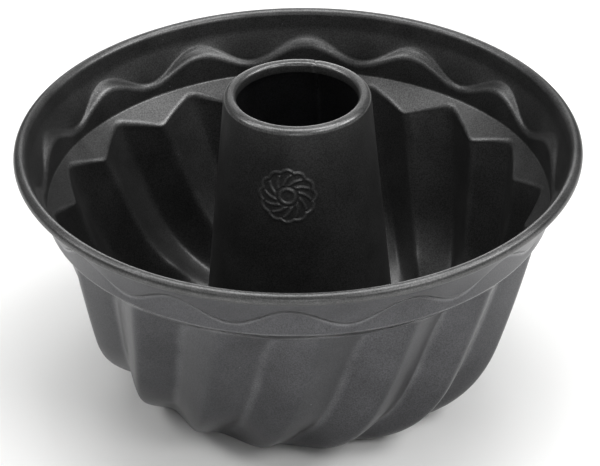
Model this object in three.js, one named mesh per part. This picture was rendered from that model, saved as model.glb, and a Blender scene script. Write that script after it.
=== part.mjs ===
// Bundt pan: a ring-cake mould made of two pieces of coated steel sheet.
//
//   fluted_body  pressed shell: rolled rim, smooth band, waved ledge, sloping shelf and
//                sixteen twisted flutes that fade into a flat ring round the centre hole
//   centre_tube  rolled cone with a turned-in lip, hemmed round the body's collar below
//
// Millimetres, +Z up. The origin is on the surface the pan stands on, under its axis.
// Every piece is one sheet section turned about the axis; the body's section is then
// drawn in at the flutes' valleys, twisted and waved, point by point.

import * as THREE from 'three';
import { mergeVertices } from 'three/addons/utils/BufferGeometryUtils.js';

// ---- sheet and fits -------------------------------------------------------------------
const SHEET = 0.5;            // thickness of both sheets, coating included
const SEAM_CLEARANCE = 0.3;   // between the tube and the collar it is hemmed round

// ---- rim and band ---------------------------------------------------------------------
const RIM_RADIUS = 110;       // outside of the rolled bead
const RIM_TOP = 101.6;        // top of the bead above the floor
const BEAD_RADIUS = 2.4;      // outside radius of the bead
const BEAD_FREE_EDGE = -135;  // degrees at which the roll stops, under the bead
const BAND_BOTTOM_INSET = 8.6;    // rim radius to the band's lower edge

// ---- waved ledge ----------------------------------------------------------------------
const WAVES = 14;
const WAVE_RISE = 3.8;        // crest of the wave above its middle line
const WAVE_PHASE = -2.2;      // degrees from the front to the nearest crest
const LEDGE_DROP = 12.0;      // bead centre to the ledge's upper edge, at the middle line
const LEDGE_FALL = 2.0;       // height the ledge loses over its width
const LEDGE_WIDTH = 2.4;

// ---- shoulder and shelf ---------------------------------------------------------------
const SHOULDER_DROP = 22;     // bead centre to the sharp shoulder
const SHOULDER_INSET = 11.9;  // rim radius to the shoulder

// ---- flutes ---------------------------------------------------------------------------
const FLUTES = 16;
const FLUTE_PHASE = 4.44;     // degrees from the front to the nearest rib crest
const CREST_DROP = 23.9;      // bead centre to the upper end of a rib crest
const CREST_INSET = 14.2;
const VALLEY_DROP = 29.9;     // bead centre to the upper end of a valley
const VALLEY_INSET = 22.2;
const FLUTE_DEPTH = 6.4;      // crest to valley, square to the wall
const FADE_START = 0.72;      // share of the wall's run after which the flutes fade out
const LEAN_TOP = 12;          // degrees the flutes lean off the slope at their mouth
const LEAN_BOTTOM = 44;       // the same where they run out
const LEAN_GROWTH = 2.3;      // power of the run by which the lean grows

// ---- wall and bottom ------------------------------------------------------------------
const KNEE_INSET = 25.8;      // rim radius to the knee, where the wall starts to turn in
const KNEE_HEIGHT = 29.4;
const WALL_BULGE = 0.7;       // how far the wall's guide point bows out between mouth and knee
const KNEE_PULL = 0.93;       // how far the turn follows the wall, of the way to the corner
const BOTTOM_PULL = 0.08;     // how far it follows the floor, of the way to the corner
const RING_WIDTH = 7;         // flat ring that the pan stands on
const RING_GAP = 8.8;         // tube's foot to the inner edge of that ring

// ---- centre tube ----------------------------------------------------------------------
const TUBE_TOP = 123.6;       // top of the lip above the floor
const TUBE_TOP_RADIUS = 28.5; // outside, under the rounded edge
const TUBE_TAPER = 5.1;       // degrees from upright, wider below
const TUBE_EDGE_RADIUS = 2.2; // outside radius of the rounded top edge
const LIP_WIDTH = 1.2;        // flat on top, between the two rounded edges
const LIP_ROLL = 1.4;         // outside radius of the lip's inner turn
const LIP_DEPTH = 2.5;        // how far the lip hangs down inside

// ---- hemmed seam at the foot ----------------------------------------------------------
const COLLAR_TOP = 6.2;       // highest point of the body's collar, inside the pan
const COLLAR_END = 2.6;       // lower edge of the collar
const COLLAR_BEND = 1.4;      // radius of the bend from the ring's slope down into the collar
const COLLAR_BEND_START = 50; // degrees above the outward direction at which the bend starts
const HEM_TOP = 4.0;          // upper edge of the hem folded round the collar
const FOOT_CLEARANCE = 0.25;  // floor to the underside of the hem's fold

// ---- fineness -------------------------------------------------------------------------
const COLUMNS_PER_FLUTE = 6;
const TUBE_COLUMNS = 60;
const BEAD_STEPS = 7;
const UPPER_WALL_STEPS = 4;
const LOWER_WALL_STEPS = 7;
const TURN_STEPS = 3;
const MERGE_DISTANCE = 1e-4;  // seam vertices closer than this are one

// ---- finish ---------------------------------------------------------------------------
const BODY_FINISH = { color: 0x3b3c3e, roughness: 0.45, metalness: 0.3 };
const TUBE_FINISH = { color: 0x36373a, roughness: 0.4, metalness: 0.3 };

const RIM_PLANE = RIM_TOP - BEAD_RADIUS;
const HALF_SHEET = SHEET / 2;
const TAPER = Math.tan(THREE.MathUtils.degToRad(TUBE_TAPER));

const point = (radius, height) => new THREE.Vector2(radius, height);

/** Outside radius of the tube's cone at a height above the floor. */
function tubeRadius(height) {
  return TUBE_TOP_RADIUS + (TUBE_TOP - TUBE_EDGE_RADIUS - height) * TAPER;
}

/** Points on an arc round a centre, from one angle to another in degrees. */
function arc(centre, radius, from, to, steps) {
  return Array.from({ length: steps + 1 }, (_, step) => {
    const angle = THREE.MathUtils.degToRad(THREE.MathUtils.lerp(from, to, step / steps));
    return point(centre.x + radius * Math.cos(angle), centre.y + radius * Math.sin(angle));
  });
}

/** Moves a path to its right-hand side by a distance, keeping it parallel round its corners. */
function offsetPath(path, distance) {
  const last = path.length - 1;
  return path.map((here, index) => {
    const back = here.clone().sub(path[Math.max(index - 1, 0)]);
    const ahead = path[Math.min(index + 1, last)].clone().sub(here);
    const first = (index === 0 ? ahead : back).clone().normalize();
    const second = (index === last ? back : ahead).clone().normalize();
    const side = point(first.y + second.y, -first.x - second.x).normalize();
    const stretch = side.dot(point(first.y, -first.x));
    return here.clone().addScaledVector(side, distance / stretch);
  });
}

/** Closed outline of a sheet that follows a path along its middle. */
function sheetOutline(path) {
  const outline = [...offsetPath(path, HALF_SHEET), ...offsetPath(path, -HALF_SHEET).reverse()];
  return [...outline, outline[0].clone()];
}

// ---- fluted body ----------------------------------------------------------------------

/** The wall's middle line on a rib crest, from the flutes' mouth to the flat ring. */
function crestWall(ringOuter) {
  const mouth = point(RIM_RADIUS - CREST_INSET, RIM_PLANE - CREST_DROP);
  const knee = point(RIM_RADIUS - KNEE_INSET, KNEE_HEIGHT);
  const guide = mouth.clone().lerp(knee, 0.5).add(point(WALL_BULGE, 0));
  const slope = (knee.x - guide.x) / (knee.y - guide.y);
  const corner = point(knee.x + slope * (HALF_SHEET - knee.y), HALF_SHEET);
  const ringEdge = point(ringOuter, HALF_SHEET);
  const upper = new THREE.QuadraticBezierCurve(mouth, guide, knee);
  const lower = new THREE.CubicBezierCurve(
    knee,
    knee.clone().lerp(corner, KNEE_PULL),
    ringEdge.clone().lerp(corner, BOTTOM_PULL),
    ringEdge,
  );
  return [
    ...upper.getSpacedPoints(UPPER_WALL_STEPS),
    ...lower.getSpacedPoints(LOWER_WALL_STEPS).slice(1),
  ];
}

/** Share of the full flute depth left at a share of the way down the wall. */
function fluteShare(run) {
  return 1 - THREE.MathUtils.smoothstep(run, FADE_START, 1);
}

/** Rows of the wall: crest point, valley point and twist, from the mouth to the ring. */
function wallRows(ringOuter) {
  const crests = crestWall(ringOuter);
  const steps = crests.map((here, index) => here.distanceTo(crests[Math.max(index - 1, 0)]));
  const length = steps.reduce((sum, step) => sum + step, 0);
  const inward = offsetPath(crests, 1).map((inner, index) => inner.sub(crests[index]));
  let travelled = 0;
  let twist = 0;
  return crests.map((crest, index) => {
    travelled += steps[index];
    const run = travelled / length;
    const lean = THREE.MathUtils.degToRad(LEAN_TOP + (LEAN_BOTTOM - LEAN_TOP) * run ** LEAN_GROWTH);
    twist -= (steps[index] * Math.tan(lean)) / crest.x;
    const valley = crest.clone().addScaledVector(inward[index], FLUTE_DEPTH * fluteShare(run));
    if (index === 0) {
      valley.set(RIM_RADIUS - VALLEY_INSET, RIM_PLANE - VALLEY_DROP);
    }
    return { crest, valley, twist, softness: run };
  });
}

/** Rows of the bead and the smooth band under it, from the bead's free edge. */
function rimRows() {
  const centre = point(RIM_RADIUS - BEAD_RADIUS, RIM_PLANE);
  const bead = arc(centre, BEAD_RADIUS - HALF_SHEET, BEAD_FREE_EDGE, 180, BEAD_STEPS);
  return bead.map((crest) => ({ crest }));
}

/** Rows of the waved ledge and the shoulder; a wave shifts a row along its own cone. */
function ledgeRows(root) {
  const band = point(RIM_RADIUS - BAND_BOTTOM_INSET, RIM_PLANE - LEDGE_DROP);
  const step = band.clone().sub(point(LEDGE_WIDTH, LEDGE_FALL));
  const shoulder = point(RIM_RADIUS - SHOULDER_INSET, RIM_PLANE - SHOULDER_DROP);
  const wave = (from, to) => to.clone().sub(from).multiplyScalar(WAVE_RISE / (to.y - from.y));
  return [
    { crest: band, wave: wave(band, root) },
    { crest: step, wave: wave(shoulder, step) },
    { crest: shoulder },
  ];
}

/** Rows of the flat ring and the collar that turns down round the tube. */
function collarRows(ringOuter) {
  const side = (height) => tubeRadius(height) + SEAM_CLEARANCE + HALF_SHEET;
  const centre = point(side(COLLAR_TOP) + COLLAR_BEND, COLLAR_TOP - HALF_SHEET - COLLAR_BEND);
  return [
    point(ringOuter - RING_WIDTH, HALF_SHEET),
    ...arc(centre, COLLAR_BEND, COLLAR_BEND_START, 180, TURN_STEPS),
    point(side(COLLAR_END), COLLAR_END),
  ].map((crest) => ({ crest }));
}

/** Every row of the body's middle line, from the bead's free edge to the collar's end. */
function bodyRows() {
  const ringOuter = tubeRadius(0) + RING_GAP + RING_WIDTH;
  const rim = rimRows();
  const wall = wallRows(ringOuter);
  const endTwist = wall.at(-1).twist;
  const rows = [
    ...rim,
    ...ledgeRows(rim.at(-1).crest),
    ...wall,
    ...collarRows(ringOuter).map((row) => ({ ...row, twist: endTwist })),
  ];
  const plain = { wave: point(0, 0), twist: 0, softness: 0 };
  return rows.map((row) => ({ ...plain, valley: row.crest, ...row }));
}

/**
 * How far a direction is from a valley towards a rib crest: 0 in the valley, 1 on the crest.
 * Softness takes the flutes from straight facets, at 0, to a smooth wave, at 1.
 */
function ribShare(angle, softness) {
  const turns = ((angle - THREE.MathUtils.degToRad(FLUTE_PHASE)) * FLUTES) / (2 * Math.PI);
  const facet = Math.abs(1 - 2 * THREE.MathUtils.euclideanModulo(turns, 1));
  const smooth = (1 - Math.cos(Math.PI * facet)) / 2;
  return THREE.MathUtils.lerp(facet, smooth, softness);
}

/** Height of the ledge's wave at a direction, from -1 to 1. */
function waveShare(angle) {
  return Math.cos(WAVES * (angle - THREE.MathUtils.degToRad(WAVE_PHASE)));
}

/** Turns the body's outline and moves every vertex to its flute, twist and wave. */
function fluteBody() {
  const rows = bodyRows();
  const crests = sheetOutline(rows.map((row) => row.crest));
  const valleys = sheetOutline(rows.map((row) => row.valley));
  const oneWay = [...rows, ...rows.slice().reverse()];
  const rowOf = [...oneWay, rows[0]];
  const columns = FLUTES * COLUMNS_PER_FLUTE;
  const geometry = new THREE.LatheGeometry(crests, columns);
  const position = geometry.getAttribute('position');
  for (let index = 0; index < position.count; index += 1) {
    const column = Math.floor(index / crests.length) % columns;
    const place = index % crests.length;
    const { wave, twist, softness } = rowOf[place];
    const angle = (column / columns) * 2 * Math.PI + THREE.MathUtils.degToRad(FLUTE_PHASE);
    const spot = valleys[place].clone().lerp(crests[place], ribShare(angle, softness));
    spot.addScaledVector(wave, waveShare(angle));
    position.setXYZ(index, spot.x * Math.sin(angle + twist), spot.y, spot.x * Math.cos(angle + twist));
  }
  return geometry;
}

// ---- centre tube ----------------------------------------------------------------------

/** The tube's middle line, from the hem's edge outside the collar up to the lip's edge. */
function tubePath() {
  const wall = (height) => tubeRadius(height) - HALF_SHEET;
  const hem = (height) => tubeRadius(height) + 2 * SEAM_CLEARANCE + SHEET + HALF_SHEET;
  const fold = FOOT_CLEARANCE + HALF_SHEET;
  const corner = fold + HALF_SHEET;
  const turn = TUBE_EDGE_RADIUS - HALF_SHEET;
  const edge = point(TUBE_TOP_RADIUS - TUBE_EDGE_RADIUS, TUBE_TOP - TUBE_EDGE_RADIUS);
  const lip = point(edge.x - LIP_WIDTH, TUBE_TOP - LIP_ROLL);
  return [
    point(hem(HEM_TOP), HEM_TOP),
    point(hem(corner), corner),
    point(hem(0) - SHEET, fold),
    point(wall(0) + SHEET, fold),
    point(wall(corner), corner),
    ...arc(edge, turn, 0, 90, TURN_STEPS),
    ...arc(lip, LIP_ROLL - HALF_SHEET, 90, 180, TURN_STEPS),
    point(lip.x - LIP_ROLL + HALF_SHEET, TUBE_TOP - LIP_ROLL - LIP_DEPTH),
  ];
}

// ---- assembly -------------------------------------------------------------------------

/** A named mesh of a turned geometry, its seam closed and its axis stood up along +Z. */
function sheetPiece(name, geometry, finish) {
  geometry.deleteAttribute('normal');
  geometry.deleteAttribute('uv');
  const closed = mergeVertices(geometry, MERGE_DISTANCE);
  closed.rotateX(Math.PI / 2);
  closed.computeVertexNormals();
  const mesh = new THREE.Mesh(closed, new THREE.MeshStandardMaterial(finish));
  mesh.name = name;
  return mesh;
}

const tube = new THREE.LatheGeometry(sheetOutline(tubePath()), TUBE_COLUMNS);
const group = new THREE.Group();
group.add(sheetPiece('fluted_body', fluteBody(), BODY_FINISH));
group.add(sheetPiece('centre_tube', tube, TUBE_FINISH));

export default group;
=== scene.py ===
"""A fluted ring-cake pan of coated steel sheet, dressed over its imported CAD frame."""

import logging
import math
from dataclasses import dataclass, field
from enum import Enum

import bpy
import numpy as np
from mathutils import Matrix, Vector


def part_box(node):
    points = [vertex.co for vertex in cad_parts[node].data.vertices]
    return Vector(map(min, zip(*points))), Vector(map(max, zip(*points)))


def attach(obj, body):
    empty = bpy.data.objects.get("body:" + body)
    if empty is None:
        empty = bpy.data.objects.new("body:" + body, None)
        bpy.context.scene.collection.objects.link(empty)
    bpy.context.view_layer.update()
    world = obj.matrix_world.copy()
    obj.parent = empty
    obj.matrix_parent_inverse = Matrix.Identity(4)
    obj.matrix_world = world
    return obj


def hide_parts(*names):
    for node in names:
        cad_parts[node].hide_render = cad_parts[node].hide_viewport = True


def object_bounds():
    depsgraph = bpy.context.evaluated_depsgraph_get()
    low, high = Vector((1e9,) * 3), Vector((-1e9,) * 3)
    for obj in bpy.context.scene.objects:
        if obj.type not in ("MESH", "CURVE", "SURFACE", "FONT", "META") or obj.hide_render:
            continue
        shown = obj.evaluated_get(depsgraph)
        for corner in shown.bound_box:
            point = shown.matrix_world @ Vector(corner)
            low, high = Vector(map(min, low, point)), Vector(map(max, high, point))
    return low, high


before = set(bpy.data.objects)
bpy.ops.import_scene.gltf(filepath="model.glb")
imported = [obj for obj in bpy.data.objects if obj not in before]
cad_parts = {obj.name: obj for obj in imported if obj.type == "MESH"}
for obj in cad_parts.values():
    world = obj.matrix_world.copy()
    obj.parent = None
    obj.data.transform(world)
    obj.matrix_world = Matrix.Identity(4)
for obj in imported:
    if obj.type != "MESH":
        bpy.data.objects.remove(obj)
CAD_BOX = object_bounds()

MM = 0.001
BODY = "root"
LOG = logging.getLogger("ring_cake_pan")

SHEET = 0.5                # thickness of both pieces' steel, in millimetres
SEAM_CLEARANCE = 0.3       # between the body's collar and the tube and hem round it
FIT_SLACK = 0.03           # keeps the fine meshes inside the coarser CAD outline
SHARP_ANGLE = 50.0         # an edge turned further than this is shaded sharp, in degrees
NOISE_SPAN = (0.3, 0.7)    # where nearly all of a noise's values lie

Point = np.ndarray     # one (radius, height), in millimetres
Path = np.ndarray      # rows of (radius, height), in millimetres
Grid = np.ndarray      # rows x columns x (x, y, z), in millimetres


class Face(Enum):
    """The two faces of a sheet, by the material slot that each takes."""

    FOOD = 0
    OUTER = 1


# ---- shared shape work --------------------------------------------------------------


def smoothstep(value: np.ndarray | float, start: float, end: float) -> np.ndarray:
    """Ease from 0 at start to 1 at end.

    Args:
        value: where to read the step.
        start: value at and below which the result is 0.
        end: value at and above which the result is 1.

    Returns:
        The eased share, from 0 to 1.
    """
    share = np.clip((np.asarray(value, float) - start) / (end - start), 0.0, 1.0)
    return share * share * (3.0 - 2.0 * share)


def arc(centre: tuple[float, float], radius: float, start: float, end: float, steps: int) -> Path:
    """Points round part of a circle.

    Args:
        centre: radius and height of the circle's centre.
        radius: the circle's own radius.
        start: first angle in degrees, from the outward direction towards up.
        end: last angle in degrees.
        steps: number of chords.

    Returns:
        steps + 1 points.
    """
    angles = np.radians(np.linspace(start, end, steps + 1))
    return np.stack([centre[0] + radius * np.cos(angles), centre[1] + radius * np.sin(angles)], axis=1)


def bend(start: Point, corner: Point, end: Point, steps: int) -> Path:
    """Round a corner of a pressed sheet.

    Args:
        start: where the bend leaves the first straight.
        corner: where the two straights would meet.
        end: where the bend joins the second straight.
        steps: number of chords across the bend.

    Returns:
        steps + 1 points.
    """
    share = np.linspace(0.0, 1.0, steps + 1)[:, None]
    return (1 - share) ** 2 * start + 2 * share * (1 - share) * corner + share**2 * end


def towards(corner: Point, other: Point, distance: float) -> Point:
    """The point at a distance from a corner on the straight to another point."""
    return corner + (other - corner) * (distance / np.linalg.norm(other - corner))


def at_places(curve: Path, run: np.ndarray, places: np.ndarray) -> Path:
    """Points of a finely drawn curve at given distances along it.

    Args:
        curve: the curve as many short chords.
        run: distance at each of the curve's points.
        places: the distances wanted.

    Returns:
        The points.
    """
    return np.stack([np.interp(places, run, curve[:, axis]) for axis in (0, 1)], axis=1)


def run_along(curve: Path) -> np.ndarray:
    """Distance travelled along a curve at each of its points."""
    return np.concatenate([[0.0], np.cumsum(np.linalg.norm(np.diff(curve, axis=0), axis=1))])


def right_of(path: Path) -> Path:
    """Offset directions to the right of a path, long enough to keep a parallel offset true.

    Args:
        path: points in order.

    Returns:
        One direction for each point, mitred at the corners.
    """
    steps = np.diff(path, axis=0)
    steps /= np.linalg.norm(steps, axis=1)[:, None]
    back = np.vstack([steps[:1], steps])
    ahead = np.vstack([steps, steps[-1:]])
    total = back + ahead
    side = np.stack([total[:, 1], -total[:, 0]], axis=1)
    side /= np.linalg.norm(side, axis=1)[:, None]
    stretch = side[:, 0] * back[:, 1] - side[:, 1] * back[:, 0]
    return side / stretch[:, None]


def sheet_mesh(name: str, food: Grid, outer: Grid) -> bpy.types.Object:
    """Close two parallel grids into one sheet that goes all the way round.

    Args:
        name: the piece's name.
        food: grid of the face that meets the cake.
        outer: grid of the other face, row for row.

    Returns:
        The new object, with material index 0 on the food face and 1 on the other.
    """
    ring = np.concatenate([food, outer[::-1]])
    rows, columns, _ = ring.shape
    index = np.arange(rows * columns).reshape(rows, columns)
    below = np.roll(index, -1, axis=0)
    quads = np.stack([index, np.roll(index, -1, axis=1), np.roll(below, -1, axis=1), below], axis=-1)
    mesh = bpy.data.meshes.new(name)
    mesh.from_pydata((ring.reshape(-1, 3) * MM).tolist(), [], quads.reshape(-1, 4).tolist())
    on_food = np.arange(rows) < food.shape[0] - 1
    indices = np.where(on_food, Face.FOOD.value, Face.OUTER.value)
    mesh.polygons.foreach_set("material_index", np.repeat(indices, columns).astype(np.int32))
    mesh.polygons.foreach_set("use_smooth", np.ones(rows * columns, bool))
    mesh.validate()
    mesh.set_sharp_from_angle(angle=math.radians(SHARP_ANGLE))
    piece = bpy.data.objects.new(name, mesh)
    bpy.context.scene.collection.objects.link(piece)
    return piece


def point_attribute(piece: bpy.types.Object, name: str, values: np.ndarray) -> None:
    """Store one number at every vertex, for a finish to read.

    Args:
        piece: the object whose mesh takes the numbers.
        name: the attribute's name.
        values: one number for each vertex.
    """
    layer = piece.data.attributes.new(name, "FLOAT", "POINT")
    layer.data.foreach_set("value", values.astype(np.float32).ravel())


def settle(piece: bpy.types.Object, node: str) -> None:
    """Put a finished piece in the frame in place of its CAD node.

    Args:
        piece: the finished piece.
        node: the CAD node that it stands for.
    """
    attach(piece, BODY)
    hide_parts(node)
    LOG.info("%s: %d faces, in place of %s", piece.name, len(piece.data.polygons), node)


# ---- shared material work -----------------------------------------------------------


def linear(hex_colour: str) -> tuple[float, float, float, float]:
    """Turn an sRGB hex colour into the linear colour that a shader takes.

    Args:
        hex_colour: six hex digits.

    Returns:
        Red, green, blue and alpha.
    """
    channels = [int(hex_colour[i:i + 2], 16) / 255 for i in (0, 2, 4)]
    red, green, blue = [c / 12.92 if c <= 0.04045 else ((c + 0.055) / 1.055) ** 2.4 for c in channels]
    return red, green, blue, 1.0


def add_node(tree: bpy.types.NodeTree, kind: str, settings: dict | None = None,
             links: dict | None = None, values: dict | None = None) -> bpy.types.Node:
    """Add a shader node with its settings, socket values and links.

    Args:
        tree: the node tree to add to.
        kind: the node's type name.
        settings: properties of the node itself.
        links: input name or number to the output socket that feeds it.
        values: input name or number to a plain value.

    Returns:
        The new node.
    """
    node = tree.nodes.new(kind)
    for key, value in (settings or {}).items():
        setattr(node, key, value)
    for key, value in (values or {}).items():
        node.inputs[key].default_value = value
    for key, socket in (links or {}).items():
        tree.links.new(socket, node.inputs[key])
    return node


def noise(tree: bpy.types.NodeTree, place: bpy.types.NodeSocket, size_mm: float,
          detail: float) -> bpy.types.NodeSocket:
    """Noise whose features are about size_mm across."""
    node = add_node(tree, "ShaderNodeTexNoise", None, {"Vector": place},
                    {"Scale": 1.0 / (size_mm * MM), "Detail": detail, "Roughness": 0.55})
    return node.outputs["Fac"]


def remap(tree: bpy.types.NodeTree, value: bpy.types.NodeSocket, old: tuple[float, float],
          new: tuple[float, float]) -> bpy.types.NodeSocket:
    """A value taken from one range to another and held inside it."""
    limits = {"From Min": old[0], "From Max": old[1], "To Min": new[0], "To Max": new[1]}
    return add_node(tree, "ShaderNodeMapRange", None, {"Value": value}, limits).outputs[0]


@dataclass(frozen=True)
class NonStickCoating:
    """PTFE non-stick paint full of metal flake, sprayed on steel sheet and baked.

    The flake makes it gleam like dark satin metal. Sprayed droplets leave a fine orange
    peel, which breaks highlights up; a paler colour is painted over every sharp bend as a
    highlight, where the roughness is also lowered; and a few specks of dust lie in it.
    """

    name: str
    film: str                    # sRGB hex of the film
    painted_highlight: str                    # sRGB hex of the paler colour painted over bends as a highlight
    roughness: float
    metallic: float = 0.9
    speck: str = "9a9b9d"        # sRGB hex of dust
    grain: float = 0.36          # share by which the flake lightens and darkens the film
    polish: float = 0.12         # fall in roughness where the painted highlight is laid
    smoothest: float = 0.03      # how far the mottle takes the roughness down
    roughest: float = 0.05       # and up
    cloud: float = 0.12          # share by which the mottle lightens and darkens the film
    highlight_span: tuple[float, float] = (0.3, 0.65)    # mottle over which a bend's painted highlight goes from least to full
    highlight_least: float = 0.45     # share of a bend's painted highlight where the mottle is lowest
    speck_strength: float = 0.7
    speck_pick: tuple[float, float] = (0.55, 0.75)  # cells above this have a speck
    mottle_mm: float = 16.0      # slow unevenness of the sprayed film
    flake_mm: float = 0.55       # flake is under 0.1 mm; drawn coarser so that its grain shows
    speck_cell_mm: float = 7.0   # one speck at most in each cell of this size
    speck_mm: float = 0.3        # radius of a speck
    peel_mm: float = 1.6         # orange peel, about twice its real size so that it shows
    peel_depth_mm: float = 0.012
    flake_depth_mm: float = 0.006

    def material(self) -> bpy.types.Material:
        """Build the coating's shader.

        Returns:
            The material.
        """
        material = bpy.data.materials.new(self.name)
        material.use_nodes = True
        tree = material.node_tree
        tree.nodes.clear()
        place = add_node(tree, "ShaderNodeTexCoord").outputs["Object"]
        mottle = noise(tree, place, self.mottle_mm, 3.0)
        flake = noise(tree, place, self.flake_mm, 1.0)
        highlight_and_gloss = self._highlight_and_gloss(tree, mottle)
        film = self._film(tree, mottle, flake, highlight_and_gloss)
        colour = add_node(tree, "ShaderNodeMix", {"data_type": "RGBA"},
                          {0: self._specks(tree, place), 6: film}, {7: linear(self.speck)}).outputs[2]
        satin = remap(tree, mottle, NOISE_SPAN,
                      (self.roughness - self.smoothest, self.roughness + self.roughest))
        rough = add_node(tree, "ShaderNodeMath", {"operation": "MULTIPLY_ADD"}, {0: highlight_and_gloss, 2: satin},
                         {1: -self.polish}).outputs[0]
        shader = add_node(
            tree, "ShaderNodeBsdfPrincipled", None,
            {"Base Color": colour, "Roughness": rough, "Normal": self._relief(tree, place, flake)},
            {"Metallic": self.metallic},
        )
        add_node(tree, "ShaderNodeOutputMaterial", None, {"Surface": shader.outputs[0]})
        return material

    def _highlight_and_gloss(self, tree: bpy.types.NodeTree, mottle: bpy.types.NodeSocket) -> bpy.types.NodeSocket:
        """How strongly each bend is painted paler as a highlight and made less rough, unevenly so."""
        highlight_attribute = add_node(tree, "ShaderNodeAttribute", {"attribute_name": "bend"}).outputs["Fac"]
        return add_node(tree, "ShaderNodeMath", {"operation": "MULTIPLY"},
                        {0: highlight_attribute, 1: remap(tree, mottle, self.highlight_span, (self.highlight_least, 1.0))}).outputs[0]

    def _film(self, tree: bpy.types.NodeTree, mottle: bpy.types.NodeSocket, flake: bpy.types.NodeSocket,
              highlight_and_gloss: bpy.types.NodeSocket) -> bpy.types.NodeSocket:
        """The film's colour: mottled and grained, and painted paler over each bend as a highlight."""
        base = add_node(tree, "ShaderNodeMix", {"data_type": "RGBA"}, {0: highlight_and_gloss},
                        {6: linear(self.film), 7: linear(self.painted_highlight)}).outputs[2]
        cloud = remap(tree, mottle, NOISE_SPAN, (1.0 - self.cloud, 1.0 + self.cloud))
        grain = remap(tree, flake, NOISE_SPAN, (1.0 - self.grain, 1.0 + self.grain))
        uneven = add_node(tree, "ShaderNodeMath", {"operation": "MULTIPLY"}, {0: cloud, 1: grain}).outputs[0]
        return add_node(tree, "ShaderNodeVectorMath", {"operation": "SCALE"},
                        {"Vector": base, "Scale": uneven}).outputs[0]

    def _specks(self, tree: bpy.types.NodeTree, place: bpy.types.NodeSocket) -> bpy.types.NodeSocket:
        """Sparse specks of dust: the middles of about a third of some large cells."""
        cells = add_node(tree, "ShaderNodeTexVoronoi", None, {"Vector": place},
                         {"Scale": 1.0 / (self.speck_cell_mm * MM)})
        reach = self.speck_mm / self.speck_cell_mm
        near = remap(tree, cells.outputs["Distance"], (reach * 0.5, reach), (self.speck_strength, 0.0))
        picked = remap(tree, cells.outputs["Color"], self.speck_pick, (0.0, 1.0))
        return add_node(tree, "ShaderNodeMath", {"operation": "MULTIPLY"}, {0: near, 1: picked}).outputs[0]

    def _relief(self, tree: bpy.types.NodeTree, place: bpy.types.NodeSocket,
                flake: bpy.types.NodeSocket) -> bpy.types.NodeSocket:
        """The orange peel's bump, with the flake's finer one on it."""
        peel = add_node(tree, "ShaderNodeBump", None, {"Height": noise(tree, place, self.peel_mm, 2.0)},
                        {"Strength": 1.0, "Distance": self.peel_depth_mm * MM}).outputs[0]
        return add_node(tree, "ShaderNodeBump", None, {"Height": flake, "Normal": peel},
                        {"Strength": 1.0, "Distance": self.flake_depth_mm * MM}).outputs[0]


@dataclass(frozen=True)
class StudioBoard:
    """Painted board under the pan: plain and pale, with the faintest grain."""

    name: str = "studio_board"
    colour: str = "f4f4f3"
    roughness: float = 0.7
    grain_mm: float = 40.0
    unevenness: float = 0.03     # how far the grain takes the roughness up and down

    def material(self) -> bpy.types.Material:
        """Build the board's shader.

        Returns:
            The material.
        """
        material = bpy.data.materials.new(self.name)
        material.use_nodes = True
        tree = material.node_tree
        tree.nodes.clear()
        place = add_node(tree, "ShaderNodeTexCoord").outputs["Object"]
        grain = noise(tree, place, self.grain_mm, 2.0)
        rough = remap(tree, grain, NOISE_SPAN,
                      (self.roughness - self.unevenness, self.roughness + self.unevenness))
        shader = add_node(tree, "ShaderNodeBsdfPrincipled", None, {"Roughness": rough},
                          {"Base Color": linear(self.colour)})
        add_node(tree, "ShaderNodeOutputMaterial", None, {"Surface": shader.outputs[0]})
        return material


# Each coating's second colour is the paler highlight painted over bends.
FOOD_COATING = NonStickCoating(
    name="ptfe_coated_steel_food_side", film="424242", painted_highlight="6d6d6d", roughness=0.38,
    metallic=0.75,
)
OUTER_COATING = NonStickCoating(
    name="ptfe_coated_steel_outer_side", film="4b4b4d", painted_highlight="818183", roughness=0.31,
    grain=0.24,
)


# ---- the pan's two pieces -----------------------------------------------------------


@dataclass
class Rows:
    """Rows of a sheet's middle line, with what the flutes and waves do to each."""

    crest: list[Path] = field(default_factory=list)
    valley: list[Path] = field(default_factory=list)
    rise: list[np.ndarray] = field(default_factory=list)
    slope: list[np.ndarray] = field(default_factory=list)
    twist: list[np.ndarray] = field(default_factory=list)
    softness: list[np.ndarray] = field(default_factory=list)
    # share of paler colour painted at each row as a highlight
    bend: list[np.ndarray] = field(default_factory=list)

    def add(self, crest: Path, valley: Path | None = None, rise: float = 0.0,
            slope: np.ndarray | float = 0.0, twist: np.ndarray | float = 0.0,
            softness: np.ndarray | float = 0.0, row_highlight: np.ndarray | float = 0.0) -> None:
        """Add a stretch of rows.

        Args:
            crest: the rows where a rib stands proudest.
            valley: the same rows at the bottom of a flute; the crest's where there is none.
            rise: height that the ledge's wave lifts each row by.
            slope: outward shift of the wave for each unit of rise.
            twist: turn of each row about the axis, in radians.
            softness: how far the flutes are from facets, at 0, to a wave, at 1.
            row_highlight: share of paler colour painted at each row as a highlight, from 0 to 1.
        """
        count = len(crest)
        self.crest.append(crest)
        self.valley.append(crest if valley is None else valley)
        for values, given in ((self.rise, rise), (self.slope, slope), (self.twist, twist),
                              (self.softness, softness), (self.bend, row_highlight)):
            values.append(np.broadcast_to(np.asarray(given, float), (count,)))

    def joined(self, name: str) -> np.ndarray:
        """All stretches of one kind as one array."""
        return np.concatenate(getattr(self, name))


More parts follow.
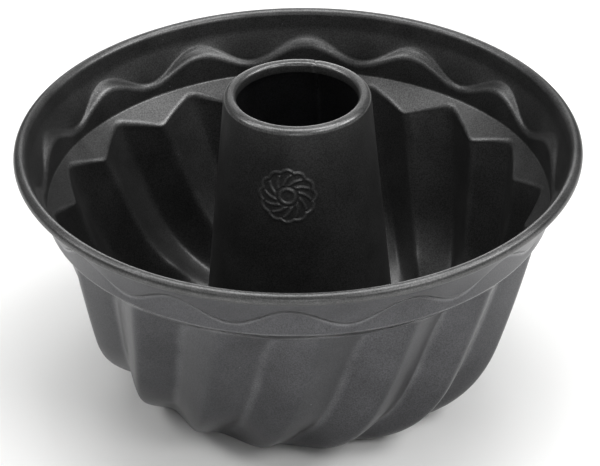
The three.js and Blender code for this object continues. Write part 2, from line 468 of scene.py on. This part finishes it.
@dataclass
class FlutedBody:
    """The pressed shell: rolled rim, band, waved ledge, shelf, twisted flutes, ring and collar.

    Sizes are in millimetres and angles in degrees. Heights called drop are measured down
    from the middle of the rim bead, and insets are measured in from the rim's outside.
    """

    name: str = "fluted_body_sheet"
    node: str = "fluted_body"
    slot: str = "body_coating"
    sheet: float = SHEET
    seam_clearance: float = SEAM_CLEARANCE
    bead_radius: float = 2.4
    bead_free_edge: float = -135.0
    bead_steps: int = 40
    neck_drop: float = 4.9
    neck_inset: float = 5.6
    band_inset: float = 8.6
    waves: int = 14
    wave_rise: float = 3.8
    wave_phase: float = -2.2
    ledge_drop: float = 12.0
    ledge_fall: float = 2.0
    ledge_width: float = 2.4
    shoulder_drop: float = 22.0
    shoulder_inset: float = 11.9
    flutes: int = 16
    flute_phase: float = 4.44
    crest_drop: float = 23.9
    crest_inset: float = 14.2
    valley_drop: float = 29.9
    valley_inset: float = 22.2
    flute_depth: float = 6.4
    fade_start: float = 0.72
    lean_top: float = 12.0
    lean_bottom: float = 44.0
    lean_growth: float = 2.3
    knee_inset: float = 25.8
    knee_height: float = 29.4
    wall_bulge: float = 0.7
    knee_pull: float = 0.93
    bottom_pull: float = 0.08
    ring_width: float = 7.0
    ring_gap: float = 8.8
    collar_top: float = 6.2
    collar_end: float = 2.6
    collar_bend: float = 1.4
    collar_bend_start: float = 50.0
    soft_bend: float = 1.3        # setbacks of the rounded bends, from the corner
    ledge_bend: float = 1.0
    nose_bend: float = 1.7
    shoulder_bend: float = 0.8
    mouth_bend: float = 1.9
    mouth_blend: float = 14.0     # run in which the valleys catch up with the crests
    soften_growth: float = 2.5    # power of the run by which facets turn into a wave
    crease_mouth: float = 0.13    # half width of a rounded crease, as a share of half a flute
    crease_wall: float = 0.09
    columns: int = 672            # a whole number for every flute and for every wave
    wall_rows: int = 56
    bead_highlight: float = 0.3        # how far each bend is painted paler as a highlight, at most
    ledge_highlight: float = 0.5
    shoulder_highlight: float = 0.7
    mouth_highlight: float = 0.6
    crease_highlight: float = 0.4
    crease_settle: float = 0.2    # softness by which a crease has its width on the wall
    crease_fade: tuple[float, float] = (0.2, 0.8)   # softness over which its painted highlight fades

    def __post_init__(self) -> None:
        """Take the overall sizes from the frame."""
        low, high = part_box(self.node)
        self.rim_radius = min(-low.x, high.x, -low.y, high.y) / MM - FIT_SLACK
        self.rim_top = high.z / MM - FIT_SLACK
        self.rim_plane = self.rim_top - self.bead_radius
        self.foot_radius = TUBE.cone_radius(0.0)
        self.ring_outer = self.foot_radius + self.ring_gap + self.ring_width

    def at(self, inset: float, drop: float) -> Point:
        """The point at an inset from the rim and a drop from the bead's middle."""
        return np.array([self.rim_radius - inset, self.rim_plane - drop])

    # -- rows of the middle line

    def add_rim(self, rows: Rows, band: Point) -> None:
        """Add the rolled bead, the neck under it and the smooth band.

        Args:
            rows: the rows so far.
            band: the band's lower edge.
        """
        centre = (self.rim_radius - self.bead_radius, self.rim_plane)
        bead = arc(centre, self.bead_radius - self.sheet / 2, self.bead_free_edge, 180.0,
                   self.bead_steps)
        neck = self.at(self.neck_inset, self.neck_drop)
        # The bead is painted paler all round as a highlight.
        rows.add(bead, row_highlight=self.bead_highlight)
        rows.add(bend(towards(neck, bead[-1], self.soft_bend), neck,
                      towards(neck, band, self.soft_bend), 6))

    def add_ledge(self, rows: Rows, band: Point, shoulder: Point) -> None:
        """Add the waved ledge, one soft bend running into the other.

        Args:
            rows: the rows so far.
            band: the band's lower edge.
            shoulder: the sharp edge over the shelf.
        """
        neck = self.at(self.neck_inset, self.neck_drop)
        step = band - np.array([self.ledge_width, self.ledge_fall])
        middle = (band + step) / 2
        upper_slope = (neck[0] - band[0]) / (neck[1] - band[1])
        lower_slope = (step[0] - shoulder[0]) / (step[1] - shoulder[1])
        middle_slope = (upper_slope + lower_slope) / 2
        upper = bend(towards(band, neck, self.ledge_bend), band, towards(band, step, self.ledge_bend), 10)
        lower = bend(middle, step, towards(step, shoulder, self.nose_bend), 12)
        rows.add(upper, rise=self.wave_rise, slope=np.linspace(upper_slope, middle_slope, len(upper)))
        # The ledge's nose is painted paler as a highlight.
        rows.add(lower, rise=self.wave_rise, slope=np.linspace(middle_slope, lower_slope, len(lower)),
                 row_highlight=np.hanning(len(lower)) * self.ledge_highlight)

    def wall_curve(self) -> Path:
        """The wall's middle line on a rib crest, from the flutes' mouth to the flat ring.

        Returns:
            Closely spaced points.
        """
        mouth = self.at(self.crest_inset, self.crest_drop)
        knee = np.array([self.rim_radius - self.knee_inset, self.knee_height])
        guide = (mouth + knee) / 2 + np.array([self.wall_bulge, 0.0])
        floor = self.sheet / 2
        slope = (knee[0] - guide[0]) / (knee[1] - guide[1])
        corner = np.array([knee[0] + slope * (floor - knee[1]), floor])
        ring = np.array([self.ring_outer, floor])
        share = np.linspace(0.0, 1.0, 200)[:, None]
        upper = (1 - share) ** 2 * mouth + 2 * share * (1 - share) * guide + share**2 * knee
        first = knee + (corner - knee) * self.knee_pull
        second = ring + (corner - ring) * self.bottom_pull
        lower = ((1 - share) ** 3 * knee + 3 * (1 - share) ** 2 * share * first
                 + 3 * (1 - share) * share**2 * second + share**3 * ring)
        return np.vstack([upper, lower[1:]])

    def twist_down(self, crest: Path) -> np.ndarray:
        """Turn of the flutes about the axis at each point of the wall, in radians.

        Args:
            crest: the wall's crest line.

        Returns:
            The turn, growing downwards.
        """
        run = run_along(crest)
        growth = (run / run[-1]) ** self.lean_growth
        lean = np.radians(self.lean_top + (self.lean_bottom - self.lean_top) * growth)
        return -np.cumsum(np.diff(run, prepend=0.0) * np.tan(lean) / crest[:, 0])

    def add_wall(self, rows: Rows, shoulder: Point) -> float:
        """Add the shelf, the flutes' mouth and the fluted wall down to the flat ring.

        Args:
            rows: the rows so far.
            shoulder: the sharp edge over the shelf.

        Returns:
            The flutes' whole twist, in radians.
        """
        curve = self.wall_curve()
        run = run_along(curve)
        depth = self.flute_depth * (1.0 - smoothstep(run / run[-1], self.fade_start, 1.0))
        deep = curve + right_of(curve) * depth[:, None]
        low_mouth = self.at(self.valley_inset, self.valley_drop)
        start = run[np.argmin(np.linalg.norm(deep - low_mouth, axis=1))]
        places = np.linspace(self.mouth_bend, run[-1], self.wall_rows)
        low_places = np.maximum(places, start + places * (1.0 - start / self.mouth_blend))
        crest = at_places(curve, run, places)
        valley = at_places(deep, run, low_places)
        twist = self.twist_down(curve)
        step = self.at(self.band_inset + self.ledge_width, self.ledge_drop + self.ledge_fall)
        over = towards(shoulder, step, self.shoulder_bend)
        mouths = (curve[0], low_mouth)
        edges = [bend(over, shoulder, towards(shoulder, mouth, self.shoulder_bend), 6) for mouth in mouths]
        # The shoulder's edge is painted paler as a highlight.
        rows.add(edges[0], edges[1], row_highlight=np.hanning(len(edges[0])) * self.shoulder_highlight)
        turns = [bend(towards(mouth, shoulder, self.mouth_bend), mouth, after, 9)
                 for mouth, after in zip(mouths, (crest[0], valley[0]))]
        # The flutes' mouth is painted paler as a highlight.
        rows.add(turns[0], turns[1], row_highlight=np.hanning(len(turns[0])) * self.mouth_highlight)
        rows.add(crest[1:], valley[1:], twist=np.interp(places[1:], run, twist),
                 softness=(places[1:] / run[-1]) ** self.soften_growth)
        return float(twist[-1])

    def add_collar(self, rows: Rows, twist: float) -> None:
        """Add the flat ring's inner bend and the collar that turns down round the tube.

        Args:
            rows: the rows so far.
            twist: the flutes' whole twist, in radians.
        """
        def side(height: float) -> float:
            """Middle of the collar at a height."""
            return TUBE.cone_radius(height) + self.seam_clearance + self.sheet / 2

        ring_inner = np.array([self.ring_outer - self.ring_width, self.sheet / 2])
        radius = self.collar_bend
        centre = (side(self.collar_top) + radius, self.collar_top - self.sheet / 2 - radius)
        turn = arc(centre, radius, self.collar_bend_start, 180.0, 12)
        ring_outer = np.array([self.ring_outer, self.sheet / 2])
        rise = bend(towards(ring_inner, ring_outer, self.soft_bend), ring_inner,
                    towards(ring_inner, turn[0], self.soft_bend), 6)
        rows.add(rise, twist=twist)
        rows.add(turn, twist=twist)
        rows.add(np.array([[side(self.collar_end), self.collar_end]]), twist=twist)

    # -- across the rows

    def rib_share(self, angle: np.ndarray, softness: np.ndarray) -> np.ndarray:
        """How far a direction is from a flute's valley towards its rib's crest.

        Args:
            angle: direction round the pan, in radians, before the twist.
            softness: how far the flutes are from facets, at 0, to a wave, at 1.

        Returns:
            0 in the valley to 1 on the crest, for every row and column.
        """
        turns = (angle - math.radians(self.flute_phase)) * self.flutes / (2 * math.pi)
        ramp = np.abs(1.0 - 2.0 * np.mod(turns, 1.0))
        near = np.minimum(ramp, 1.0 - ramp)
        closing = smoothstep(softness, 0.0, self.crease_settle)[:, None]
        crease = self.crease_mouth + (self.crease_wall - self.crease_mouth) * closing
        eased = np.where(near < crease, near**2 / (2 * crease) + crease / 2, near)
        facet = np.where(ramp < 0.5, eased, 1.0 - eased)
        smooth = (1.0 - np.cos(math.pi * ramp)) / 2
        return facet + (smooth - facet) * softness[:, None]

    def grids(self, rows: Rows) -> tuple[Grid, Grid, np.ndarray]:
        """Both faces of the shell, fluted, twisted and waved.

        Args:
            rows: every row of the middle line.

        Returns:
            The food face, the outer face, and the share of painted highlight at each point.
        """
        crest, valley = rows.joined("crest"), rows.joined("valley")
        angle = np.arange(self.columns) * 2 * math.pi / self.columns + math.radians(self.flute_phase)
        share = self.rib_share(angle, rows.joined("softness"))
        rise = rows.joined("rise")[:, None] * np.cos(self.waves * (angle - math.radians(self.wave_phase)))
        turned = angle[None, :] + rows.joined("twist")[:, None]
        faces = []
        for side in (self.sheet / 2, -self.sheet / 2):
            outline = [line + right_of(line) * side for line in (crest, valley)]
            radius, height = [
                outline[1][:, axis, None] + (outline[0] - outline[1])[:, axis, None] * share
                for axis in (0, 1)
            ]
            radius = radius + rise * rows.joined("slope")[:, None]
            height = height + rise
            faces.append(np.stack([radius * np.sin(turned), -radius * np.cos(turned), height], axis=-1))
        # Paler colour is painted along the creases as a highlight, fading as the flutes soften into a wave.
        softness = rows.joined("softness")
        sharp = np.where(softness > 0, 1.0 - smoothstep(softness, *self.crease_fade), 0.0)
        crease = np.exp(-((share / self.crease_wall) ** 2)) * sharp[:, None]
        highlight_share = np.maximum(rows.joined("bend")[:, None], crease * self.crease_highlight)
        return faces[0], faces[1], highlight_share

    def build(self) -> bpy.types.Object:
        """Make the shell, dress it and put it in the frame.

        Returns:
            The finished piece.
        """
        rows = Rows()
        band = self.at(self.band_inset, self.ledge_drop)
        shoulder = self.at(self.shoulder_inset, self.shoulder_drop)
        self.add_rim(rows, band)
        self.add_ledge(rows, band, shoulder)
        self.add_collar(rows, self.add_wall(rows, shoulder))
        food, outer, highlight_share = self.grids(rows)
        piece = sheet_mesh(self.name, food, outer)
        # The painted highlight's share goes to the coatings as the attribute bend.
        point_attribute(piece, "bend", np.concatenate([highlight_share, highlight_share[::-1]]))
        piece.data.materials.append(FOOD_COATING.material())
        piece.data.materials.append(OUTER_COATING.material())
        settle(piece, self.node)
        return piece


@dataclass
class CakeEmblem:
    """A ring cake seen from above, pressed out of the tube's wall in thin raised lines."""

    direction: float = -8.0       # degrees from the front
    height: float = 96.0          # middle of the emblem above the floor, in millimetres
    outer: float = 11.0           # radius of the scalloped edge
    scallop: float = 0.9
    lobes: int = 12
    hole: float = 3.0
    line: float = 0.55            # half width of a raised line
    line_core: float = 0.5        # a line is flat to this share of its half width
    line_foot: float = 1.7        # and meets the wall at this one
    relief: float = 0.3
    sweep: float = 0.9            # turn of the drawn flutes from hole to edge, in radians
    hole_margin: float = 1.6      # plain wall between the flutes and the hole
    edge_margin: float = 1.4

    def raised(self, across: np.ndarray, up: np.ndarray) -> np.ndarray:
        """How far the wall is pressed out.

        Args:
            across: distance round the tube from the emblem's middle, in millimetres.
            up: distance up the tube from the emblem's middle.

        Returns:
            The relief in millimetres.
        """
        radius = np.hypot(across, up)
        turn = np.arctan2(up, across)
        edge = self.outer - self.scallop * (1.0 - np.abs(np.cos(turn * self.lobes / 2)))
        lines = [np.abs(radius - edge), np.abs(radius - self.hole)]
        swept = turn + self.sweep * (radius - self.hole) / (self.outer - self.hole)
        spoke = np.abs(np.sin(swept * self.lobes / 2)) * radius * 2 / self.lobes
        inside = (radius > self.hole + self.hole_margin) & (radius < edge - self.edge_margin)
        lines.append(np.where(inside, spoke, self.outer))
        nearest = np.minimum.reduce(lines)
        fall = smoothstep(nearest, self.line * self.line_core, self.line * self.line_foot)
        return self.relief * (1.0 - fall)


@dataclass
class CentreTube:
    """The rolled and butt-welded cone in the middle, hemmed round the body's collar."""

    name: str = "centre_tube_sheet"
    node: str = "centre_tube"
    slot: str = "tube_coating"
    sheet: float = SHEET
    seam_clearance: float = SEAM_CLEARANCE
    top_radius: float = 28.5
    taper: float = 5.1
    edge_radius: float = 2.2
    lip_width: float = 1.2
    lip_roll: float = 1.4
    lip_depth: float = 2.5
    hem_top: float = 4.0
    weld_direction: float = 164.0
    weld_half_width: float = 0.8
    weld_height: float = 0.16
    lip_highlight: float = 0.6         # how far each feature is painted paler as a highlight, at most
    emblem_highlight: float = 0.5
    weld_highlight: float = 0.4
    emblem_margin: float = 2.0    # fine mesh goes this far past the emblem
    weld_margin: float = 3.0      # and this many half widths each side of the weld
    weld_nick: float = 1.2        # depth of the nick over the top edge, as a share of that height
    emblem: CakeEmblem = field(default_factory=CakeEmblem)

    def __post_init__(self) -> None:
        """Take the tube's height from the frame."""
        self.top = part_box(self.node)[1].z / MM - FIT_SLACK

    def cone_radius(self, height: float | np.ndarray) -> float | np.ndarray:
        """Outside radius of the cone at a height above the floor."""
        return self.top_radius + (self.top - self.edge_radius - height) * math.tan(math.radians(self.taper))

    def path(self) -> Path:
        """The tube's middle line, from the hem's edge outside the collar to the lip's edge.

        Returns:
            Points in order, closer together behind the emblem.
        """
        half = self.sheet / 2

        def wall(height: float | np.ndarray) -> float | np.ndarray:
            """Middle of the cone's sheet at a height."""
            return self.cone_radius(height) - half

        hem = wall(0.0) + 2 * self.seam_clearance + 2 * self.sheet
        edge = (self.top_radius - self.edge_radius, self.top - self.edge_radius)
        lip = (edge[0] - self.lip_width, self.top - self.lip_roll)
        fold = (hem - wall(0.0)) / 2
        low = self.emblem.height - self.emblem.outer - self.emblem_margin
        high = self.emblem.height + self.emblem.outer + self.emblem_margin
        heights = np.concatenate([
            np.linspace(fold + half, low, 14, endpoint=False),
            np.linspace(low, high, 90, endpoint=False),
            np.linspace(high, edge[1], 5, endpoint=False),
        ])
        lip_end = np.array([[lip[0] - self.lip_roll + half, self.top - self.lip_roll - self.lip_depth]])
        return np.vstack([
            [[hem, self.hem_top]],
            arc((wall(0.0) + fold, fold + half), fold, 0.0, -170.0, 12),
            np.stack([wall(heights[1:]), heights[1:]], axis=1),
            arc(edge, self.edge_radius - half, 0.0, 90.0, 9),
            arc(lip, self.lip_roll - half, 90.0, 180.0, 8),
            lip_end,
        ])

    def directions(self) -> np.ndarray:
        """Columns round the tube, closer together at the emblem and the weld.

        Returns:
            Angles from the front in radians, in order.
        """
        reach = math.degrees((self.emblem.outer + self.emblem_margin) / self.top_radius)
        weld = math.degrees(self.weld_margin * self.weld_half_width / self.top_radius)
        middle = self.emblem.direction
        return np.radians(np.concatenate([
            np.linspace(middle - reach, middle + reach, 96, endpoint=False),
            np.linspace(middle + reach, self.weld_direction - weld, 62, endpoint=False),
            np.linspace(self.weld_direction - weld, self.weld_direction + weld, 16, endpoint=False),
            np.linspace(self.weld_direction + weld, middle - reach + 360.0, 62, endpoint=False),
        ]))

    def build(self) -> bpy.types.Object:
        """Make the tube with its emblem and weld, dress it and put it in the frame.

        Returns:
            The finished piece.
        """
        path = self.path()
        angle = self.directions()
        aside = right_of(path)
        on_cone = (path[:, 1] > self.hem_top) & (path[:, 1] < self.top - self.edge_radius)
        from_emblem = self.wrapped(angle - math.radians(self.emblem.direction))
        across = from_emblem * self.cone_radius(self.emblem.height)
        up = (path[:, 1] - self.emblem.height)[:, None]
        pressed = self.emblem.raised(across[None, :], up) * on_cone[:, None]
        from_weld = self.wrapped(angle - math.radians(self.weld_direction)) * self.top_radius
        weld = self.weld_height * np.exp(-((from_weld / self.weld_half_width) ** 2))
        on_top = path[:, 1] > self.top - self.edge_radius
        seam = np.where(on_top, -self.weld_nick, (path[:, 1] > self.hem_top).astype(float))
        shift = pressed + weld[None, :] * seam[:, None]
        faces = []
        for side in (self.sheet / 2, -self.sheet / 2):
            radius = path[:, 0, None] + aside[:, 0, None] * (side + shift)
            height = path[:, 1, None] + aside[:, 1, None] * (side + shift)
            faces.append(np.stack([radius * np.sin(angle), -radius * np.cos(angle), height], axis=-1))
        piece = sheet_mesh(self.name, faces[0], faces[1])
        # Paler colour painted as a highlight on the emblem's raised lines, along the weld and over the lip.
        painted_highlight = pressed / self.emblem.relief * self.emblem_highlight
        painted_highlight = painted_highlight + weld[None, :] / self.weld_height * self.weld_highlight
        highlight_share = np.clip(painted_highlight + self.lip_highlight * on_top[:, None], 0, 1)
        point_attribute(piece, "bend", np.concatenate([highlight_share, highlight_share[::-1]]))
        piece.data.materials.append(FOOD_COATING.material())
        piece.data.materials.append(OUTER_COATING.material())
        settle(piece, self.node)
        return piece

    @staticmethod
    def wrapped(angle: np.ndarray) -> np.ndarray:
        """An angle in radians brought to between minus and plus half a turn."""
        return np.mod(angle + math.pi, 2 * math.pi) - math.pi


TUBE = CentreTube()


# ---- studio -------------------------------------------------------------------------


@dataclass
class SoftBox:
    """One square studio light aimed at the pan."""

    name: str
    direction: float              # degrees from the front, towards the right
    elevation: float              # degrees above the horizon
    power: float                  # watts
    side: float = 0.6             # metres
    distance: float = 1.6
    aim_height: float = 0.05

    def build(self) -> None:
        """Hang the light."""
        turn, lift = math.radians(self.direction), math.radians(self.elevation)
        away = Vector((math.cos(lift) * math.sin(turn), -math.cos(lift) * math.cos(turn), math.sin(lift)))
        lamp = bpy.data.lights.new(self.name, "AREA")
        lamp.shape = "SQUARE"
        lamp.size = self.side
        lamp.energy = self.power
        holder = bpy.data.objects.new(self.name, lamp)
        holder.location = away * self.distance + Vector((0.0, 0.0, self.aim_height))
        holder.rotation_euler = away.to_track_quat("Z", "Y").to_euler()
        holder.visible_camera = False
        bpy.context.scene.collection.objects.link(holder)


@dataclass
class Studio:
    """Pale floor, even surrounding light, soft boxes and the camera."""

    floor_radius: float = 12.0
    floor_sides: int = 96
    floor_gap: float = 0.0002     # metres that the floor lies under the pan
    surround: float = 0.15
    lens: float = 245.2           # millimetres on a 36 mm wide sensor
    distance: float = 1.6         # metres from the aimed point
    elevation: float = 31.98      # degrees above the horizon
    roll: float = -0.762
    aim: tuple[float, float, float] = (0.00034, 0.0, 0.0606)
    boxes: tuple[SoftBox, ...] = (
        SoftBox("right_box", 90.0, 42.0, 11.5),
        SoftBox("front_right_box", 45.0, 42.0, 7.0),
        SoftBox("back_right_high_box", 120.0, 68.0, 8.4),
        SoftBox("back_left_high_box", 240.0, 68.0, 7.2),
        SoftBox("left_box", 270.0, 42.0, 6.6),
        SoftBox("front_left_box", 315.0, 42.0, 2.0),
        SoftBox("front_low_box", 0.0, 14.0, 3.6),
        SoftBox("back_high_box", 180.0, 68.0, 5.2),
        SoftBox("back_low_box", 180.0, 14.0, 4.2),
        SoftBox("overhead_box", 0.0, 90.0, 3.5, side=0.5),
    )

    def build(self) -> None:
        """Lay the floor, light the scene and set the camera."""
        self.build_floor()
        self.build_surround()
        for box in self.boxes:
            box.build()
        self.build_camera()

    def build_floor(self) -> None:
        """Lay a large pale disc with its top at the height the pan stands on."""
        count = self.floor_sides
        angles = [2 * math.pi * i / count for i in range(count)]
        points = [(self.floor_radius * math.cos(a), self.floor_radius * math.sin(a), 0.0) for a in angles]
        mesh = bpy.data.meshes.new("studio_floor")
        mesh.from_pydata(points, [], [list(range(count))])
        floor = bpy.data.objects.new("studio_floor", mesh)
        floor.data.materials.append(StudioBoard().material())
        floor.location.z = CAD_BOX[0].z - self.floor_gap
        bpy.context.scene.collection.objects.link(floor)

    def build_surround(self) -> None:
        """Give the scene an even white surrounding."""
        world = bpy.data.worlds.new("studio_surround")
        world.use_nodes = True
        background = world.node_tree.nodes["Background"]
        background.inputs["Color"].default_value = linear("ffffff")
        background.inputs["Strength"].default_value = self.surround
        bpy.context.scene.world = world
        bpy.context.scene.view_settings.view_transform = "Standard"

    def build_camera(self) -> None:
        """Stand the camera at its distance and elevation, rolled a little."""
        tilt, roll = math.radians(self.elevation), math.radians(self.roll)
        ahead = Vector((0.0, math.cos(tilt), -math.sin(tilt)))
        level = Vector((1.0, 0.0, 0.0))
        upright = level.cross(ahead)
        side = level * math.cos(roll) + upright * math.sin(roll)
        top = upright * math.cos(roll) - level * math.sin(roll)
        spot = Vector(self.aim) - ahead * self.distance
        camera = bpy.data.cameras.new("studio_camera")
        camera.lens = self.lens
        camera.clip_end = 100.0
        holder = bpy.data.objects.new("studio_camera", camera)
        holder.matrix_world = Matrix((
            (side.x, top.x, -ahead.x, spot.x),
            (side.y, top.y, -ahead.y, spot.y),
            (side.z, top.z, -ahead.z, spot.z),
            (0.0, 0.0, 0.0, 1.0),
        ))
        bpy.context.scene.collection.objects.link(holder)
        bpy.context.scene.camera = holder


def main() -> None:
    """Build the studio and both pieces of the pan."""
    logging.basicConfig(level=logging.INFO, format="%(name)s: %(message)s")
    Studio().build()
    FlutedBody().build()
    TUBE.build()


if __name__ == "__main__":
    main()
